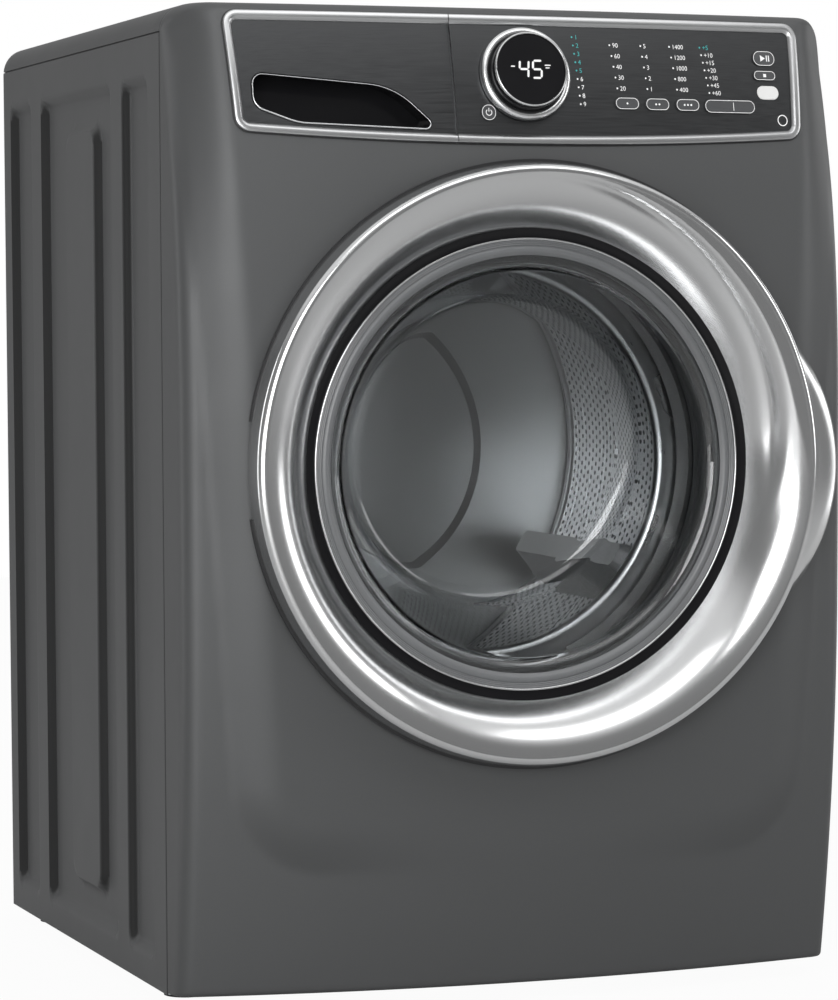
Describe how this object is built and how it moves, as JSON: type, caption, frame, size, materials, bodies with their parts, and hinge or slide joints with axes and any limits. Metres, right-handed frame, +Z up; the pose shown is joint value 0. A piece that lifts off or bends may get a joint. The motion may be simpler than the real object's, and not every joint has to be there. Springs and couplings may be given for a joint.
{
  "type": "front load washing machine",
  "caption": "Free-standing front load washing machine with a bowed front, round glass door in a bright ring, tilted console with turning dial, and a pull-out detergent drawer.",
  "frame": {"origin": "middle of the bounding box, on the floor under the feet", "axes": "+X to the right as seen from the front, +Y to the back, +Z up"},
  "size_m": [0.686, 0.7708, 0.965],
  "materials": {
    "body_paint": "satin metallic",
    "galvanised_steel": "zinc coated",
    "bright_steel": "ground",
    "chrome": "polished",
    "dial_silver": "satin",
    "console_dark": "brushed look",
    "black_gloss": "gloss",
    "black_plastic": "fine grain",
    "button_grey": "satin",
    "white_plastic": "satin",
    "board_green": "coated",
    "door_glass": "clear, smoky",
    "gasket_rubber": "matt",
    "black_rubber": "matt",
    "tub_plastic": "moulded",
    "weight_iron": "cast",
    "drum_steel": "brushed stainless",
    "lifter_plastic": "satin",
    "cast_aluminium": "cast",
    "motor_metal": "cast and painted"
  },
  "bodies": {
    "cabinet": {"base_frame": "galvanised_steel", "side_panel_left": "body_paint", "side_panel_right": "body_paint", "rear_panel": "galvanised_steel", "rear_access_cover": "galvanised_steel", "top_panel": "body_paint", "front_panel": "body_paint", "top_braces": "galvanised_steel", "console_fascia": "console_dark", "console_trim": "chrome", "display_lens": "black_gloss", "control_board": "board_green", "dispenser_housing": "white_plastic", "inlet_valve": "white_plastic", "fill_hose": "black_rubber", "drain_pump": "black_plastic", "drain_hose": "black_rubber", "power_inlet": "black_plastic", "door_lock": "black_plastic", "hinge_bracket": "galvanised_steel", "door_gasket": "gasket_rubber", "damper_cylinders": "black_plastic", "cabinet_screws": "bright_steel", "tub_hoses": "gasket_rubber", "suspension_springs": "bright_steel"},
    "tub": {"tub_front": "tub_plastic", "tub_rear": "tub_plastic", "counterweights": "weight_iron", "shaft_bearings": "bright_steel", "motor_housing": "motor_metal", "drive_belt": "black_rubber", "damper_rods": "bright_steel"},
    "drum": {"drum_shell": "drum_steel", "drum_back": "drum_steel", "drum_lifters": "lifter_plastic", "drum_spider": "cast_aluminium", "drum_pulley": "cast_aluminium"},
    "motor_rotor": {"motor_pulley": "bright_steel"},
    "door": {"door_ring": "chrome", "door_back_frame": "black_plastic", "door_glass": "door_glass", "door_strike": "bright_steel", "hinge_leaf": "galvanised_steel", "hinge_pin": "bright_steel"},
    "drawer": {"drawer_front": "console_dark", "drawer_trim": "chrome", "drawer_handle_cup": "black_gloss", "drawer_tray": "white_plastic"},
    "dial": {"dial_ring": "dial_silver"},
    "power_button": {"power_button": "button_grey"},
    "temperature_button": {"temperature_button": "button_grey"},
    "soil_button": {"soil_button": "button_grey"},
    "spin_button": {"spin_button": "button_grey"},
    "options_button": {"options_button": "button_grey"},
    "start_button": {"start_button": "button_grey"},
    "cancel_button": {"cancel_button": "button_grey"},
    "foot_front_left": {"foot_front_left": "black_rubber"},
    "foot_front_right": {"foot_front_right": "black_rubber"},
    "foot_rear_left": {"foot_rear_left": "black_rubber"},
    "foot_rear_right": {"foot_rear_right": "black_rubber"}
  },
  "joints": [
    {"name": "door_hinge", "type": "hinge", "parent": "cabinet", "child": "door", "pos_m": [-0.276, -0.3645, 0.526], "axis": [0, 0, -1], "range_deg": [0, 110]},
    {"name": "tub_bounce", "type": "slide", "parent": "cabinet", "child": "tub", "axis": [0, 0, 1], "range_m": [-0.012, 0.012], "stiffness_N_per_m": 24000, "springref_m": 0.02058, "deforming": ["suspension_springs", "tub_hoses", "door_gasket"]},
    {"name": "drum_spin", "type": "hinge", "parent": "tub", "child": "drum", "pos_m": [0, 0, 0.526], "axis": [0, 1, 0], "continuous": true},
    {"name": "motor_spin", "type": "hinge", "parent": "tub", "child": "motor_rotor", "pos_m": [0, 0, 0.173], "axis": [0, 1, 0], "continuous": true},
    {"name": "drawer_slide", "type": "slide", "parent": "cabinet", "child": "drawer", "axis": [0, -1, 0], "range_m": [0, 0.2]},
    {"name": "dial_turn", "type": "hinge", "parent": "cabinet", "child": "dial", "pos_m": [-0.0015, -0.32738, 0.9], "axis": [-0.0004, -0.9716, 0.2368], "continuous": true},
    {"name": "power_button_press", "type": "slide", "parent": "cabinet", "child": "power_button", "axis": [0.0116, 0.9821, -0.1879], "range_m": [0, 0.001], "stiffness_N_per_m": 600, "springref_m": -0.001},
    {"name": "temperature_button_press", "type": "slide", "parent": "cabinet", "child": "temperature_button", "axis": [-0.0294, 0.9788, -0.2027], "range_m": [0, 0.001], "stiffness_N_per_m": 600, "springref_m": -0.001},
    {"name": "soil_button_press", "type": "slide", "parent": "cabinet", "child": "soil_button", "axis": [-0.0385, 0.9786, -0.2023], "range_m": [0, 0.001], "stiffness_N_per_m": 600, "springref_m": -0.001},
    {"name": "spin_button_press", "type": "slide", "parent": "cabinet", "child": "spin_button", "axis": [-0.0478, 0.9782, -0.2022], "range_m": [0, 0.001], "stiffness_N_per_m": 600, "springref_m": -0.001},
    {"name": "options_button_press", "type": "slide", "parent": "cabinet", "child": "options_button", "axis": [-0.0608, 0.9777, -0.2011], "range_m": [0, 0.001], "stiffness_N_per_m": 600, "springref_m": -0.001},
    {"name": "start_button_press", "type": "slide", "parent": "cabinet", "child": "start_button", "axis": [-0.0716, 0.9616, -0.2648], "range_m": [0, 0.001], "stiffness_N_per_m": 600, "springref_m": -0.001},
    {"name": "cancel_button_press", "type": "slide", "parent": "cabinet", "child": "cancel_button", "axis": [-0.0718, 0.9674, -0.2428], "range_m": [0, 0.001], "stiffness_N_per_m": 600, "springref_m": -0.001},
    {"name": "foot_front_left_level", "type": "slide", "parent": "cabinet", "child": "foot_front_left", "axis": [0, 0, -1], "range_m": [0, 0.02]},
    {"name": "foot_front_right_level", "type": "slide", "parent": "cabinet", "child": "foot_front_right", "axis": [0, 0, -1], "range_m": [0, 0.02]},
    {"name": "foot_rear_left_level", "type": "slide", "parent": "cabinet", "child": "foot_rear_left", "axis": [0, 0, -1], "range_m": [0, 0.02]},
    {"name": "foot_rear_right_level", "type": "slide", "parent": "cabinet", "child": "foot_rear_right", "axis": [0, 0, -1], "range_m": [0, 0.02]}
  ],
  "couplings": [
    {"joint": "motor_spin", "follows": "drum_spin", "ratio": 12}
  ]
}
